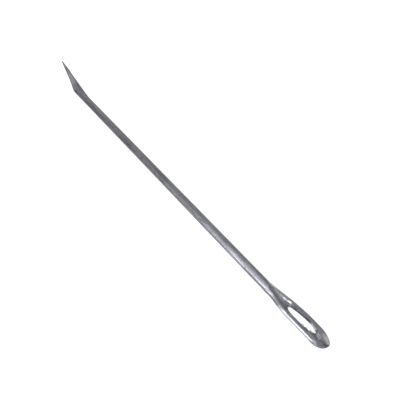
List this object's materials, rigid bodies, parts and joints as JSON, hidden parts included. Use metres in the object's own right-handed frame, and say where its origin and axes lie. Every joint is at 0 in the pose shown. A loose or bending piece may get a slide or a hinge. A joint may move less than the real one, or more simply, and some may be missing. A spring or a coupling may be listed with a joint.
{
  "type": "sack needle",
  "caption": "Bent steel sack needle with a round tapering shank, a ground lance blade, and a stamped eye plate with a long slot and thread gutters.",
  "frame": {"origin": "middle of the needle's bounding box, at the height of its underside", "axes": "+X along the shank from the point to the eye, +Y the way the blade bends, +Z the way the thread passes through the eye"},
  "size_m": [0.127, 0.0058, 0.0033],
  "materials": {
    "steel": "dark hardened steel, semi-gloss, with fine drawing and grinding marks"
  },
  "bodies": {
    "root": {"needle": "steel"}
  },
  "joints": []
}
